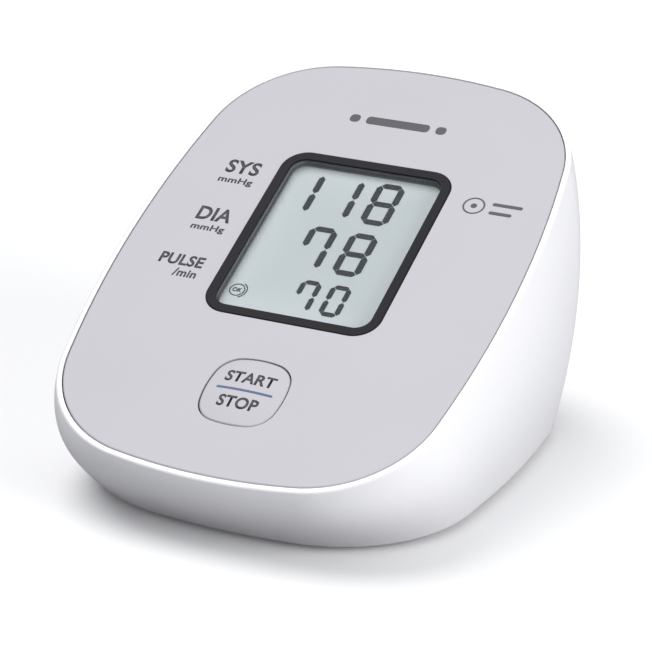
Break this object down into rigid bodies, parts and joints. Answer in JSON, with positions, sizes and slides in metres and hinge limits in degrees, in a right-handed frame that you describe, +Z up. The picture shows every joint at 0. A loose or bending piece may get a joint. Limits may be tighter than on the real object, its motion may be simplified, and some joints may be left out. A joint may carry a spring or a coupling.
{
  "type": "upper arm blood pressure monitor",
  "caption": "Wedge-shaped desktop blood pressure monitor with a sloping grey panel, a framed numeric display and one start and stop key; air jack on its left side.",
  "frame": {"origin": "centre of the rectangle the unit covers on the table, at table height", "axes": "+X to the right for a person reading the display, +Y away from that person, +Z up"},
  "size_m": [0.1032, 0.1286, 0.0798],
  "materials": {
    "white_shell": "smooth satin white moulding",
    "grey_panel": "pale grey panel with a soft satin finish",
    "black_plastic": "matt black moulding",
    "inner_plastic": "natural unpainted moulding",
    "jack_plastic": "grey moulding",
    "clear_window": "clear polished acrylic",
    "lcd": "pale green-grey reflective display",
    "foot_rubber": "grey moulded rubber",
    "dark_rubber": "black soft rubber",
    "tube_rubber": "translucent silicone tube",
    "steel": "plated steel",
    "spring_steel": "nickel plated spring steel",
    "aluminium_can": "drawn aluminium can",
    "brass": "plain brass",
    "copper": "enamelled copper wire",
    "magnet": "sintered ferrite",
    "board": "green solder mask on glass fibre",
    "chip": "black moulded package",
    "cell_wrap": "printed film round a steel can",
    "lead_red": "insulated wire",
    "label": "blank matt label film"
  },
  "bodies": {
    "housing": {"housing_tub": "white_shell", "front_panel": "grey_panel", "rubber_feet": "foot_rubber", "case_screws": "steel", "underside_label": "label", "battery_cells": "cell_wrap", "battery_springs": "spring_steel", "battery_contacts": "spring_steel", "battery_leads": "lead_red", "lcd_bezel": "black_plastic", "display_window": "clear_window", "lcd_glass": "lcd", "lcd_holder": "inner_plastic", "contact_strip": "dark_rubber", "switch_body": "black_plastic", "main_board": "board", "board_screws": "steel", "processor_chip": "chip", "small_chips": "chip", "capacitors": "aluminium_can", "buzzer": "black_plastic", "crystal": "aluminium_can", "pressure_sensor": "inner_plastic", "pump_cap": "black_plastic", "pump_diaphragm": "dark_rubber", "pump_case": "black_plastic", "pump_screws": "steel", "pump_driver": "inner_plastic", "motor_can": "steel", "motor_bushings": "brass", "motor_magnets": "magnet", "motor_terminals": "brass", "motor_leads": "lead_red", "pump_sleeves": "dark_rubber", "air_manifold": "inner_plastic", "air_tubes": "tube_rubber", "air_jack": "jack_plastic", "valve_base": "black_plastic", "valve_yoke": "steel", "valve_coil": "inner_plastic", "valve_winding": "copper", "valve_spring": "spring_steel", "adapter_socket": "black_plastic", "socket_pin": "steel"},
    "start_key": {"start_stop_key": "grey_panel", "switch_plunger": "inner_plastic"},
    "cell_door": {"battery_door": "white_shell"},
    "rotor": {"motor_rotor": "steel", "pump_crank": "inner_plastic"},
    "exhaust_plunger": {"valve_plunger": "steel", "valve_seal": "dark_rubber"}
  },
  "joints": [
    {"name": "key_press", "type": "slide", "parent": "housing", "child": "start_key", "axis": [0, 0.4584, -0.8887], "range_m": [0, 0.0005], "stiffness_N_per_m": 2000, "springref_m": -0.0005},
    {"name": "door_hinge", "type": "hinge", "parent": "housing", "child": "cell_door", "pos_m": [0, 0.0463, 0.002], "axis": [1, 0, 0], "range_deg": [0, 75]},
    {"name": "rotor_spin", "type": "hinge", "parent": "housing", "child": "rotor", "pos_m": [0, 0.036, 0.0334], "axis": [1, 0, 0], "continuous": true},
    {"name": "exhaust_slide", "type": "slide", "parent": "housing", "child": "exhaust_plunger", "axis": [0, 0, 1], "range_m": [0, 0.0008], "stiffness_N_per_m": 150, "springref_m": -0.004, "deforming": ["valve_spring"]}
  ]
}
